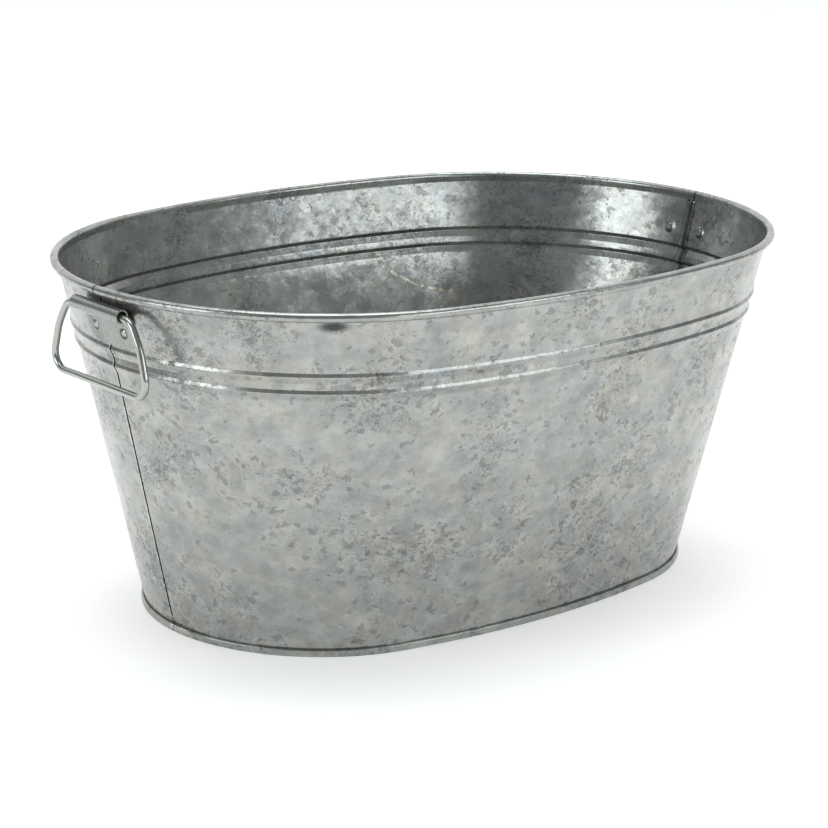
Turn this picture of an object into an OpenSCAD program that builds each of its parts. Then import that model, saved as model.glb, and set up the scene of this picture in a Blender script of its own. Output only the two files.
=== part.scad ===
// Oval galvanised tub: two flared sheet half-shells lock-seamed at the ends, a base panel
// double-seamed to them, a wire rolled into the rim, and two drop handles in riveted brackets.
// The plan is a four-centre oval: two end arcs and two side arcs, tangent where they meet.
// Profiles are drawn as (u, z): u is the distance outward from the rim bead's centre line.

/* [Tub] */
// Length over the rim bead
rim_length = 550; // [500:1:600]
// Width over the rim bead
rim_width = 388; // [350:1:430]
// How far the long sides bow out past the width that the end arcs alone would give
side_bow = 9; // [5:0.5:14]
// Height of the rim bead's centre above the floor
rim_z = 246; // [220:1:300]
// How far the wall leans in between the neck and the foot
flare = 55.2; // [40:0.1:65]
// Thickness of the galvanised sheet
sheet = 0.5; // [0.4:0.05:0.6]

/* [Rim] */
// Radius of the steel wire inside the rolled rim
rim_wire_r = 2.4; // [1.8:0.1:3]
// Depth of the upright neck, from the bead's centre down to where the wall starts to lean
neck_h = 4; // [3.5:0.1:6]
// How far round the wire the sheet is rolled, in degrees
curl_angle = 305; // [280:1:306]

/* [Ribs] */
// Depth of the upper rib's crest below the bead's centre
rib_drop = 41.2; // [41:0.1:50]
// Height from one rib to the next
rib_pitch = 11.7; // [10:0.1:14]
// How far a rib's crest, before it is rounded, stands out from the wall's slope
rib_out = 1.7; // [1:0.1:2]
// Height of the short flank above the crest, which faces up
rib_flank = 2.6; // [2.4:0.1:3.2]
// Height of the long slope below the crest
rib_slope = 4.8; // [4:0.1:6]
// Bend radius along the crest and the top of the flank
rib_bend = 1.3; // [1:0.1:1.5]
// Bend radius at the foot of the slope
rib_sweep = 2; // [1.5:0.1:3]
// Number of ribs
rib_count = 2; // [1:1:4]

/* [Lock seams] */
// Width of the folded lock seam at each end
seam_w = 5; // [4:0.1:7]
// Gap left between folded sheets
fold_gap = 0.1; // [0.08:0.01:0.15]

/* [Foot and base] */
// Height of the double seam that the tub stands on
foot_h = 5; // [4.5:0.1:6]
// Height of the base panel's upper face above the floor
base_z = 8; // [7:0.1:12]
// Height of the shell's upturned hook inside the double seam
body_hook = 4.1; // [3.6:0.1:4.2]
// Height at which the base panel's hook ends inside the double seam
cover_hook = 1.8; // [1.6:0.1:2.4]
// Radius on the outside edges of the double seam
foot_round = 0.9; // [0.5:0.1:1.2]

/* [Handles] */
// Diameter of the handle wire
handle_d = 5; // [4:0.1:5.4]
// Depth of the wire's centre in the bracket below the bead's centre
pivot_drop = 12.9; // [12.5:0.1:14]
// Half length of the straight top of the loop
top_run = 29.2; // [28.5:0.1:31]
// Length of the straight between the upper corner and the shoulder
upper_leg = 8.75; // [6:0.25:11]
// Length of the straight between the shoulder and the lower corner
lower_leg = 12.25; // [9:0.25:16]
// Bend radius of the upper corners
top_bend = 12.5; // [10:0.5:14]
// Bend radius at the shoulders
shoulder_bend = 37.5; // [25:2.5:50]
// Bend radius of the lower corners
grip_bend = 11; // [8:0.5:13]

/* [Brackets] */
// Thickness of the bracket plate
plate = 1; // [0.8:0.05:1.2]
// Length of the rolled knuckle, and width of the plate
bracket_w = 54; // [50:0.1:56]
// Clearance of the wire below the knuckle's bore
pivot_gap = 0.3; // [0.2:0.05:0.5]
// Bore radius of the knuckle
knuckle_bore = 3.7; // [3.5:0.1:3.9]
// How far round the wire the plate is rolled, in degrees
knuckle_curl = 318; // [300:1:318]
// Depth of the rivets below the bead's centre
rivet_drop = 26.4; // [26:0.1:27.5]
// Distance between the two rivets of a bracket, along the wall
rivet_span = 32; // [30:0.1:33]
// Radius of the plate's lower corners, and its reach below the rivets
lobe_r = 10.8; // [10:0.1:11.5]
// Depth below the bead's centre of the pressed step between the plate and its straight neck
joggle_drop = 19.3; // [18.5:0.1:19.7]
// Half the height of that step
joggle_half = 1.2; // [1:0.1:1.4]
// Gap between the straight neck and the wall
neck_gap = 0.15; // [0.12:0.01:0.3]

/* [Rivets] */
// Radius of the rivet shank
shank_r = 1.6; // [1.4:0.05:1.8]
// Radius of the domed head outside
head_r = 2.7; // [2.4:0.05:2.8]
// Height of the domed head
head_h = 1.3; // [1:0.05:1.5]
// Radius of the flat head closed inside
tail_r = 2.4; // [2.2:0.05:2.6]
// Height of the flat head inside
tail_h = 0.7; // [0.5:0.05:0.9]
// Radius of the pressed dish round each rivet, at the wall's face
dish_r = 4.4; // [4.2:0.05:4.5]
// Radius of the dish's flat floor
dish_floor_r = 3.1; // [3:0.05:3.2]
// Depth of the dish
dish_depth = 0.8; // [0.6:0.05:0.9]
// Gap round and under the rivet, and in the dishes
seat_gap = 0.05; // [0.03:0.01:0.08]

/* [Hidden] */
$fn = 120;
zinc = [0.66, 0.68, 0.69];
zinc_dark = [0.58, 0.60, 0.61];
steel = [0.75, 0.76, 0.77];

// Rim bead: the wire, a gap and the sheet round it
bead_r = rim_wire_r + fold_gap + sheet;
// Plan: end arcs stand at (+-end_c, 0), side arcs have their centres at (0, -+side_k)
end_r = rim_width / 2 - bead_r - side_bow;
end_c = rim_length / 2 - bead_r - end_r;
side_k = (end_c * end_c - side_bow * side_bow) / (2 * side_bow);
side_r = end_r + norm([end_c, side_k]);
meet = atan2(side_k, end_c);
// Angle of end arc that reaches past the seam, before it is cut there
strip = 5;

// Heights above the floor of what hangs from the rim
rib_z = rim_z - rib_drop;
pivot_z = rim_z - pivot_drop;
rivet_z = rim_z - rivet_drop;
joggle_z = rim_z - joggle_drop;

// Wall: outer face upright at the neck, then a straight line in to the foot
neck_u = -bead_r + sheet;
neck_z = rim_z - neck_h;
foot_bend_z = foot_h + 0.5;
lean = flare / (neck_z - foot_bend_z);
lean_angle = atan(lean);
function wall_u(z) = neck_u - lean * (neck_z - z);
foot_u = wall_u(foot_bend_z);
// Sideways room for one sheet and a gap, upright and along the steepest facet
layer = sheet + fold_gap;
seam_layer = layer + 0.02;
// The lock seams run from just above the base panel to just under the neck
seam_z0 = base_z + 1;
seam_z1 = neck_z - 1;
seam_half = seam_w / 2;
// A fold's bent part stays this far inside the ends of the flat parts that it joins
fold_in = 0.05;

// Bracket: the knuckle's back is in line with the neck, and the wire lies low in its bore
knuckle_r = knuckle_bore + plate;
wire_r = handle_d / 2;
knuckle_z = pivot_z + knuckle_bore - wire_r - pivot_gap;
knuckle_x = end_c + end_r + wall_u(knuckle_z) + (knuckle_r + neck_gap) / cos(lean_angle);
rivet_angle = rivet_span / 2 / (end_r + wall_u(rivet_z)) * 180 / PI;
// The plate stands a little further off, to clear the wall's bends
plate_gap = seat_gap + 0.02;
// The step's middle, measured down the slope from the knuckle's centre
joggle = -(knuckle_z - joggle_z + (knuckle_r - plate / 2) * sin(lean_angle)) / cos(lean_angle);
dish_slope = (dish_r - dish_floor_r) / dish_depth;

// Points of a path with each inner corner turned on its own radius, in steps of about 15 degrees
function unit(v) = v / norm(v);
function turn(a, b) = atan2(a[0] * b[1] - a[1] * b[0], a[0] * b[0] + a[1] * b[1]);
function corner(p, q, s, r) =
    let (a = unit(q - p), b = unit(s - q), w = turn(a, b), cut = r * tan(abs(w) / 2),
         centre = q - a * cut + r * sign(w) * [-a[1], a[0]], steps = max(2, ceil(abs(w) / 15)))
    r == 0 || abs(w) < 0.5 ? [q] :
    [for (i = [0:steps])
        let (h = w * i / steps, arm = r * sign(w) * [a[1], -a[0]])
        centre + [arm[0] * cos(h) - arm[1] * sin(h), arm[0] * sin(h) + arm[1] * cos(h)]];
function rounded(p, r) =
    [for (i = [0:len(p) - 1])
        each (i == 0 || i == len(p) - 1 ? [p[i]] : corner(p[i - 1], p[i], p[i + 1], r[i]))];
// The same path moved d to its left, with mitred corners
function beside(p, d) =
    [for (i = [0:len(p) - 1])
        let (a = unit(i == 0 ? p[1] - p[0] : p[i] - p[i - 1]),
             b = unit(i == len(p) - 1 ? p[i] - p[i - 1] : p[i + 1] - p[i]),
             n = unit([-a[1] - b[1], a[0] + b[0]]))
        p[i] + n * d / (n * [-a[1], a[0]])];
function backward(p) = [for (i = [len(p) - 1:-1:0]) p[i]];
function moved(p, d) = [for (q = p) q + d];

// Outer face of the wall, from the foot up to the bead, through the ribs
rib_crests = [for (i = [rib_count - 1:-1:0]) rib_z - i * rib_pitch];
rib_points = [for (z = rib_crests) each [
    [wall_u(z - rib_slope), z - rib_slope],
    [wall_u(z) + rib_out, z],
    [wall_u(z + rib_flank), z + rib_flank]]];
wall_path = rounded(
    concat([[foot_u, layer], [foot_u, foot_bend_z]], rib_points, [[neck_u, neck_z], [neck_u, rim_z]]),
    concat([0, 3], [for (z = rib_crests) each [rib_sweep, rib_bend, rib_bend]], [3, 0]));
wall_back = beside(wall_path, sheet);

// Section between layers a and b of a lock seam, counted inward from the wall itself
module layers(a, b, trim = 0) {
    intersection() {
        polygon(concat(moved(wall_path, [-a * seam_layer, 0]),
                       backward(moved(wall_back, [-b * seam_layer, 0]))));
        translate([-2 * flare, seam_z0 + trim])
            square([2 * flare, seam_z1 - seam_z0 - 2 * trim]);
    }
}

// A ring of sheet rolled round a wire, open below where its edge tucks in
module rolled(r, t, angle) {
    reach = 2 * r;
    difference() {
        circle(r = r);
        circle(r = r - t);
        polygon([[0, 0], [-reach, 0], [-reach, -reach],
                 [reach * cos(180 - angle), reach * sin(180 - angle)]]);
    }
}

module shell_section() {
    polygon(concat(wall_path, backward(wall_back)));
    translate([0, rim_z]) rolled(bead_r, sheet, curl_angle);
    // The lower edge is turned out and up into the double seam
    translate([foot_u - sheet, layer])
        square([2 * layer + sheet, sheet]);
    translate([foot_u - sheet + 2 * layer, layer])
        square([sheet, body_hook - layer]);
}

// Sweeps of a section along a quarter of the oval. Both arcs start in the plane where they meet.
module end_arc(y) {
    intersection() {
        translate([end_c, 0, 0])
            rotate([0, 0, meet])
                mirror([0, 1, 0])
                    rotate_extrude(angle = meet + strip)
                        translate([end_r, 0]) children();
        translate([0, y, -1])
            cube([rim_length, rim_width, rim_z + 2 * bead_r + 2]);
    }
}
module side_arc() {
    intersection() {
        translate([end_c, 0, 0])
            rotate([0, 0, meet])
                translate([end_r - side_r, 0, 0])
                    rotate_extrude(angle = 91 - meet)
                        translate([side_r, 0]) children();
        translate([0, 0, -1])
            cube([rim_length, rim_width, rim_z + 2 * bead_r + 2]);
    }
}
module four_quarters() {
    for (x = [0, 1], y = [0, 1])
        mirror([x, 0, 0])
            mirror([0, y, 0]) children();
}
// A short sweep across the middle of an end, turned to both sides
module across_end(half) {
    translate([end_c, 0, 0])
        rotate([0, 0, -half])
            rotate_extrude(angle = 2 * half)
                translate([end_r, 0]) children();
}
// The part of it that lies between two planes beside the seam
module across_seam(y0, y1) {
    intersection() {
        across_end(strip) children();
        translate([end_c, y0, -1])
            cube([end_r + 2 * bead_r, y1 - y0, rim_z + 2 * bead_r + 2]);
    }
}

// The bent part of a fold joins layers a and b, and ends inside both sheets
module bend_across(y0, y1, a, b) {
    across_seam(y0, y1) layers(a + 0.4, b - 0.4, fold_in);
}
// The edge that folds under: the outer sheet of the seam and its hook
module under_fold() {
    bend_across(-seam_half + fold_in, -seam_half + sheet, 0, 2);
    across_seam(-seam_half, seam_half - sheet - fold_gap) layers(2, 2);
}
// The edge that steps in behind the other one and hooks over it
module over_fold() {
    step_y = seam_half + fold_gap;
    bend_across(step_y + fold_in, step_y + sheet - fold_in, 0, 3);
    across_seam(-seam_half, step_y + sheet) layers(3, 3);
    bend_across(-seam_half + fold_in, -seam_half + sheet, 1, 3);
    across_seam(-seam_half, seam_half - sheet - fold_gap) layers(1, 1);
}

// Places its children on the wall at a rivet: Z points out of the wall
module at_rivet(side) {
    translate([end_c, 0, 0])
        rotate([0, 0, side * rivet_angle])
            translate([end_r + wall_u(rivet_z), 0, rivet_z])
                rotate([0, 90 + lean_angle, 0]) children();
}
// The cone that a dish is pressed to, from its floor of radius r at z0 up to z1
module dish(r, z0, z1) {
    translate([0, 0, z0])
        cylinder(r1 = r, r2 = r + (z1 - z0) * dish_slope, h = z1 - z0);
}

// One half-shell, on the +Y side of the tub: its edge folds under at +X and hooks over at -X
module half_shell() {
    difference() {
        union() {
            end_arc(-seam_half) shell_section();
            side_arc() shell_section();
            mirror([1, 0, 0]) side_arc() shell_section();
            mirror([1, 0, 0]) end_arc(seam_half + fold_gap) shell_section();
            under_fold();
            mirror([1, 0, 0]) over_fold();
            for (s = [0, 1])
                mirror([s, 0, 0])
                    at_rivet(1)
                        dish(dish_floor_r + 0.4 * sheet, -dish_depth - sheet, -sheet / 2);
        }
        for (s = [0, 1])
            mirror([s, 0, 0])
                at_rivet(1) {
                    dish(dish_floor_r, -dish_depth, sheet);
                    translate([0, 0, -4])
                        cylinder(r = shank_r + seat_gap, h = 8);
                }
    }
}
module back_shell() {
    color(zinc) half_shell();
}
module front_shell() {
    color(zinc)
        rotate([0, 0, 180]) half_shell();
}

module rim_wire() {
    color(steel)
        four_quarters() {
            end_arc(0) translate([0, rim_z]) circle(r = rim_wire_r);
            side_arc() translate([0, rim_z]) circle(r = rim_wire_r);
        }
}

// Section of the base panel: flat, down inside the wall, out under it, up and over its hook
module base_section(reach_in) {
    inner = foot_u - sheet - layer;
    outer = foot_u + 3 * layer;
    hook = foot_u + layer - sheet;
    translate([-reach_in, base_z - sheet])
        square([reach_in + inner + sheet, sheet]);
    difference() {
        union() {
            translate([inner, 0]) square([sheet, base_z]);
            translate([inner, 0]) square([outer - inner, sheet]);
            translate([outer - sheet, 0]) square([sheet, foot_h]);
            translate([hook, foot_h - sheet]) square([outer - hook, sheet]);
            translate([hook, cover_hook]) square([sheet, foot_h - cover_hook]);
        }
        for (z = [0, foot_h])
            translate([outer, z])
                difference() {
                    translate([-foot_round, z == 0 ? -1 : -foot_round])
                        square([foot_round + 1, foot_round + 1]);
                    translate([-foot_round, z == 0 ? foot_round : -foot_round])
                        circle(r = foot_round);
                }
    }
}
module base_panel() {
    // The long side's sweeps reach this far past the middle line, so that the quarters overlap
    past = 20;
    color(zinc_dark)
        four_quarters() {
            end_arc(0) base_section(end_r);
            side_arc() base_section(side_r - side_k + past);
        }
}

// Bracket at the +X end: a plate curved to the wall, a pressed step, a straight neck and a knuckle
plate_top = joggle_z + 4 * joggle_half;
plate_foot = rivet_z - 2 * lobe_r;
plate_path = [[wall_u(plate_top), plate_top], [wall_u(plate_foot), plate_foot]];
plate_back = beside(plate_path, plate_gap);
plate_front = beside(plate_path, plate_gap + plate);
module plate_outline() {
    half = bracket_w / 2;
    rotate([90, 0, 90])
        linear_extrude(2 * end_r) {
            translate([-half, rivet_z])
                square([2 * half, knuckle_z - rivet_z]);
            translate([-half + lobe_r, rivet_z - lobe_r])
                square([2 * (half - lobe_r), lobe_r + 1]);
            for (s = [-1, 1])
                translate([s * (half - lobe_r), rivet_z]) circle(r = lobe_r);
        }
}
// Straight parts lie in the wall's slope at the middle: local Z runs up the wall, X points out
module in_wall_slope() {
    translate([knuckle_x, 0, knuckle_z])
        rotate([0, lean_angle, 0]) children();
}
module bracket() {
    swing = 14;
    lap = 0.2;
    // More than the plate's height below its step
    below = 2 * (joggle_z - rivet_z + lobe_r);
    difference() {
        union() {
            intersection() {
                across_end(swing) polygon(concat(plate_back, backward(plate_front)));
                plate_outline();
                in_wall_slope()
                    translate([-below, -bracket_w, joggle - lap - below])
                        cube([2 * below, 2 * bracket_w, below]);
            }
            intersection() {
                across_end(swing)
                    polygon([plate_back[0], plate_back[1], [20, plate_foot], [20, plate_top]]);
                in_wall_slope()
                    translate([-knuckle_r - 3 * plate, -bracket_w / 2, joggle - joggle_half])
                        cube([4 * plate, bracket_w, 2 * joggle_half]);
            }
            in_wall_slope()
                rotate([90, 0, 0])
                    linear_extrude(bracket_w, center = true) {
                        rolled(knuckle_r, plate, knuckle_curl);
                        translate([-knuckle_r, joggle + lap]) square([plate, -joggle - lap]);
                    }
            for (side = [-1, 1])
                at_rivet(side)
                    dish(dish_floor_r - seat_gap, -dish_depth + seat_gap, plate_gap + plate / 2);
        }
        for (side = [-1, 1])
            at_rivet(side) {
                dish(head_r + 0.2, plate_gap + plate - dish_depth, plate_gap + plate + 0.5);
                translate([0, 0, -4])
                    cylinder(r = shank_r + seat_gap, h = 8);
            }
    }
}
module left_bracket() {
    color(zinc_dark)
        rotate([0, 0, 180]) bracket();
}
module right_bracket() {
    color(zinc_dark) bracket();
}

// Drop handle: a closed loop of wire, drawn as straight runs and bends in (y, z) from the pivot.
// The runs' directions are whole parts of 625, so that runs and bends meet on round numbers.
wire_dirs = [[1, 0], [336, -527] / 625, [7, -24] / 25, [-1, 0]];
wire_runs = [top_run, upper_leg, lower_leg];
wire_bends = [top_bend, shoulder_bend, grip_bend];
function out(d) = [-d[1], d[0]];
function bend_start(i) = (i == 0 ? [0, 0] : bend_end(i - 1)) + wire_dirs[i] * wire_runs[i];
function bend_centre(i) = bend_start(i) - wire_bends[i] * out(wire_dirs[i]);
function bend_end(i) = bend_centre(i) + wire_bends[i] * out(wire_dirs[i + 1]);
module wire_run(p, d, length) {
    translate([0, p[0], p[1]])
        rotate([-atan2(d[0], d[1]), 0, 0])
            cylinder(r = wire_r, h = length);
}
module wire_bend(i) {
    centre = bend_centre(i);
    a = 2 * wire_bends[i] * out(wire_dirs[i]);
    b = 2 * wire_bends[i] * out(wire_dirs[i + 1]);
    translate([0, centre[0], centre[1]])
        rotate([90, 0, 90])
            intersection() {
                rotate_extrude() translate([wire_bends[i], 0]) circle(r = wire_r);
                linear_extrude(4 * wire_r, center = true)
                    polygon([[0, 0], a, a + b, b]);
            }
}
module handle() {
    grip = bend_end(2);
    translate([knuckle_x, 0, pivot_z]) {
        wire_run([-top_run, 0], [1, 0], 2 * top_run);
        wire_run([-grip[0], grip[1]], [1, 0], 2 * grip[0]);
        for (s = [0, 1])
            mirror([0, s, 0]) {
                for (i = [1, 2]) wire_run(bend_end(i - 1), wire_dirs[i], wire_runs[i]);
                for (i = [0, 1, 2]) wire_bend(i);
            }
    }
}
module left_handle() {
    color(steel)
        rotate([0, 0, 180]) handle();
}
module right_handle() {
    color(steel) handle();
}

// Rivet: a domed head outside, a shank through both sheets, a flat head closed inside
module rivet(side) {
    head_z = plate_gap + plate - dish_depth + seat_gap;
    tail_z = -dish_depth - sheet - seat_gap;
    dome_r = (head_r * head_r + head_h * head_h) / (2 * head_h);
    color(steel)
        at_rivet(side) {
            translate([0, 0, tail_z - tail_h])
                cylinder(r = tail_r, h = tail_h);
            translate([0, 0, tail_z - tail_h / 2])
                cylinder(r = shank_r, h = head_z - tail_z + tail_h);
            intersection() {
                translate([0, 0, head_z + head_h - dome_r]) sphere(r = dome_r);
                translate([0, 0, head_z]) cylinder(r = head_r + 1, h = head_h + 1);
            }
        }
}
module right_rivet_back() { rivet(1); }
module right_rivet_front() { rivet(-1); }
module left_rivet_front() { rotate([0, 0, 180]) rivet(1); }
module left_rivet_back() { rotate([0, 0, 180]) rivet(-1); }

front_shell();
back_shell();
base_panel();
rim_wire();
left_bracket();
right_bracket();
left_handle();
right_handle();
left_rivet_front();
left_rivet_back();
right_rivet_front();
right_rivet_back();
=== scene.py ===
# %% [markdown]
# # An oval galvanised tub
#
# This lesson dresses a wash tub that is already built as a CAD model. The CAD model holds the
# sizes and the joints. Here the sheet gets its real bends and seams as smooth meshes, and the zinc
# gets its spangle. Every piece is made in the place where the CAD model has it, so nothing is
# fitted at the end.

# %% Load the CAD model
import math

import bmesh
import bpy
import numpy as np
from mathutils import Matrix, Vector


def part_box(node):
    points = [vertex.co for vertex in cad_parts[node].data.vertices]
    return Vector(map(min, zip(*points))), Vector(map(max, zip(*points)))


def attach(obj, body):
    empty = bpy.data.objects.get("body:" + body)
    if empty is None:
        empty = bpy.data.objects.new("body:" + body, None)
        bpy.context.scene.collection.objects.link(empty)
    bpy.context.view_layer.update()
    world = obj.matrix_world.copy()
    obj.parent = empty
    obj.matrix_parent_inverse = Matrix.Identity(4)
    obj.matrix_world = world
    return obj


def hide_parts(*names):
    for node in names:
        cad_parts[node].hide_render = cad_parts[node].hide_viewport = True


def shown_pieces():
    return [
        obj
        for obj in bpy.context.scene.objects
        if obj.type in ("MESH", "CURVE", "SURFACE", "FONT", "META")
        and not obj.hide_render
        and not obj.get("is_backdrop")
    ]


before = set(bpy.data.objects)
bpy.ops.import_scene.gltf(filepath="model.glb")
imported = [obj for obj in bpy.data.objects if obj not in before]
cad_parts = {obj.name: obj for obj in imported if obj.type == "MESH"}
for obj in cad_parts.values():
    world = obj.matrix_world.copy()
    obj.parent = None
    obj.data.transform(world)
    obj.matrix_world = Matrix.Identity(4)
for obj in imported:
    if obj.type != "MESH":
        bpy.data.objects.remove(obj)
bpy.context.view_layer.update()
scene = bpy.context.scene

# %% [markdown]
# ## The sizes that everything hangs on
#
# A tub like this is drawn from very few numbers: the length, width and height of the wire in its
# rim, the thickness of the sheet and how far the wall leans in. The first three can be read from
# the CAD model's own rim wire, so they are never typed twice. All lengths below are millimetres,
# and one helper turns them into metres when a mesh is made.

# %% Driving sizes
MM = 0.001
SHEET = 0.5
FOLD_GAP = 0.1
WIRE_R = 2.4
SIDE_BOW = 9.0
FLARE = 55.2
NECK_H = 4.0
FOOT_H = 5.0
BASE_Z = 8.0

wire_low, wire_high = (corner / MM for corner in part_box("rim_wire"))
RIM_Z = (wire_low.z + wire_high.z) / 2
BEAD_R = WIRE_R + FOLD_GAP + SHEET
END_R = wire_high.y - WIRE_R - SIDE_BOW
END_C = wire_high.x - WIRE_R - END_R
print(f"rim wire at {RIM_Z:.1f} mm, end arcs of {END_R:.1f} mm around x = +-{END_C:.1f} mm")

# %% [markdown]
# ## Camera
#
# The camera comes first, because every later choice is judged through it. A product photo of
# metal is usually taken from far away with a long lens, so that the near side isn't swollen. The
# camera is described by the direction it looks in, its distance and the point that it aims at.

# %% Camera
CAMERA_YAW = 40.07
CAMERA_PITCH = 15.88
CAMERA_ROLL = 0.92
CAMERA_DISTANCE = 1952.05
AIM_RIGHT = -4.3
AIM_UP = 117.1
LENS = 118.2


def aim_camera():
    yaw, pitch, roll = (math.radians(a) for a in (CAMERA_YAW, CAMERA_PITCH, CAMERA_ROLL))
    forward = Vector((math.sin(yaw) * math.cos(pitch), math.cos(yaw) * math.cos(pitch), -math.sin(pitch)))
    level = Vector((math.cos(yaw), -math.sin(yaw), 0))
    upright = level.cross(forward)
    right = level * math.cos(roll) + upright * math.sin(roll)
    up = upright * math.cos(roll) - level * math.sin(roll)
    aim = Vector((AIM_RIGHT * right.x, AIM_RIGHT * right.y, AIM_UP))
    data = bpy.data.cameras.new("camera")
    data.lens = LENS
    data.clip_end = 50
    camera = bpy.data.objects.new("camera", data)
    turn = Matrix((right, up, -forward)).transposed().to_4x4()
    camera.matrix_world = Matrix.Translation((aim - forward * CAMERA_DISTANCE) * MM) @ turn
    scene.collection.objects.link(camera)
    scene.camera = camera
    return camera


camera = aim_camera()
print("camera stands at", [round(v, 3) for v in camera.matrix_world.translation])

# %% [markdown]
# ## Nodes
#
# The room, the floor and the zinc are drawn with shader nodes. They could be wired by hand in the
# editor. With a few short functions they read like plain sums: each adds one node, plugs in what
# it is given and hands back its output.

# %% Helpers for nodes


def put(tree, value, socket):
    """Gives a socket a plain value, or links it to another node's output."""
    if isinstance(value, bpy.types.NodeSocket):
        tree.links.new(value, socket)
    else:
        socket.default_value = value


def work_out(tree, kind, operation, values):
    node = tree.nodes.new(kind)
    node.operation = operation
    for value, socket in zip(values, node.inputs):
        put(tree, value, socket)
    return node.outputs


def maths(tree, operation, *values):
    return work_out(tree, "ShaderNodeMath", operation, values)[0]


def vectors(tree, operation, *values):
    outputs = work_out(tree, "ShaderNodeVectorMath", operation, values)
    return outputs["Value" if operation in ("DOT_PRODUCT", "LENGTH") else "Vector"]


def mask(tree, value, low, high):
    """0 below low, 1 above high and smooth between."""
    node = tree.nodes.new("ShaderNodeMapRange")
    node.interpolation_type = "SMOOTHSTEP"
    node.inputs["From Min"].default_value = low
    node.inputs["From Max"].default_value = high
    tree.links.new(value, node.inputs["Value"])
    return node.outputs["Result"]


# %% [markdown]
# ## Studio
#
# Metal has almost no colour of its own: what it shows is the room. Here that is a white floor, a
# white wall behind the tub, a dim room on the camera's side and soft lights to its left and right.
# The far inside of the tub looks out between the lights, and so do the upper flanks of the ribs in
# front: that is why both are dark in the middle and bright on either side. The wall outside leans
# forward, so it sees the floor and nothing else.
#
# A photo of a real room could light the scene too, but a plain room of two tones can be tuned
# until each reflection is where it should be.

# %% Room
scene.view_settings.view_transform = "Standard"
PALE_EDGE = (0.45, 0.68)


def room(dim, pale, toward):
    """A dim world with a pale side in the direction toward, which fades out over some 15 degrees."""
    world = bpy.data.worlds.new("room")
    world.use_nodes = True
    tree = world.node_tree
    way = tree.nodes.new("ShaderNodeTexCoord").outputs["Generated"]
    facing = vectors(tree, "DOT_PRODUCT", way, Vector(toward).normalized())
    blend = tree.nodes.new("ShaderNodeMix")
    blend.data_type = "RGBA"
    blend.inputs["A"].default_value = (*dim, 1)
    blend.inputs["B"].default_value = (*pale, 1)
    put(tree, mask(tree, facing, *PALE_EDGE), blend.inputs["Factor"])
    put(tree, blend.outputs["Result"], tree.nodes["Background"].inputs["Color"])
    scene.world = world


room((0.25, 0.272, 0.28), (1.08, 1.1, 1.1), toward=(0.55, 0.65, 0.52))
print("the world is", scene.world.name)

# %% [markdown]
# The floor's white is part colour and part glow. The glow shows only to the camera and in
# reflections, so it doesn't light the tub, and the tub's shadow stays in the part that is colour.
# More light on everything would make the floor white too, but it would also bleach the zinc.

# %% Floor
FLOOR_SIDE = 60


def white_floor(colour, glow):
    bpy.ops.mesh.primitive_plane_add(size=FLOOR_SIDE, location=(0, 0, 0))
    floor = bpy.context.object
    floor.name = "floor"
    material = bpy.data.materials.new("floor_white")
    material.use_nodes = True
    tree = material.node_tree
    shader = tree.nodes["Principled BSDF"]
    shader.inputs["Base Color"].default_value = (*colour, 1)
    shader.inputs["Roughness"].default_value = 0.8
    shader.inputs["Specular IOR Level"].default_value = 0.1
    path = tree.nodes.new("ShaderNodeLightPath")
    seen = path.outputs["Is Camera Ray"]
    for kind in ("Is Glossy Ray", "Is Transmission Ray"):
        seen = maths(tree, "MAXIMUM", seen, path.outputs[kind])
    glowing = tree.nodes.new("ShaderNodeEmission")
    put(tree, maths(tree, "MULTIPLY", seen, glow), glowing.inputs["Strength"])
    total = tree.nodes.new("ShaderNodeAddShader")
    put(tree, shader.outputs[0], total.inputs[0])
    put(tree, glowing.outputs[0], total.inputs[1])
    put(tree, total.outputs[0], tree.nodes["Material Output"].inputs["Surface"])
    floor.data.materials.append(material)
    floor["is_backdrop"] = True
    return floor


floor = white_floor((0.87, 0.86, 0.84), 0.36)
print("the floor is", FLOOR_SIDE, "m wide and called", floor.name)

# %% [markdown]
# Now the lights. The large one on the left makes the bright band at the right of the inside, and
# the large one on the right makes the band at its left. Two small lights, one low and one far to
# the right, finish the edges of these bands. The last hangs over the tub: it draws the white line
# on the bead of the rim, and it reaches down inside to the grooves behind the ribs.
#
# A large lamp spreads its watts thin, so each light is given by its size and its brightness, and
# the watts follow: four on each square metre look as bright as plain white.

# %% Lights
LIGHTS_AIM = Vector((0, 0, 0.2))
LIGHT_COLOUR = (0.95, 1.0, 1.02)
WHITE_WATTS = 4


def softbox(name, place, width, height, brightness):
    """A rectangular light that faces the tub, of a size in metres."""
    data = bpy.data.lights.new(name, "AREA")
    data.shape = "RECTANGLE"
    data.size = width
    data.size_y = height
    data.energy = brightness * WHITE_WATTS * width * height
    data.color = LIGHT_COLOUR
    light = bpy.data.objects.new(name, data)
    light.location = place
    light.rotation_euler = (LIGHTS_AIM - Vector(place)).to_track_quat("-Z", "Y").to_euler()
    scene.collection.objects.link(light)


softbox("light_left", (-3.02, 0.40, 1.3), 1.7, 1.6, 2.5)
softbox("light_right", (0.93, -2.87, 1.47), 2.1, 1.5, 1.9)
softbox("light_low_right", (-0.33, -3.1, 0.75), 0.9, 0.55, 2.3)
softbox("light_far_right", (2.07, -2.46, 1.5), 0.7, 1.0, 0.8)
softbox("light_top", (0.1, 0.35, 3.0), 2.4, 2.0, 2.3)

# %% [markdown]
# ## The oval
#
# The plan is the old tinsmith's oval: two end arcs and two side arcs that run into each other
# without a corner. Its great virtue is that every outline drawn a fixed distance outside or
# inside it is again four arcs, so rim, wall and foot can share one rule. A place on it is given
# by how far one has walked round the rim wire, starting at the right end.

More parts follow.
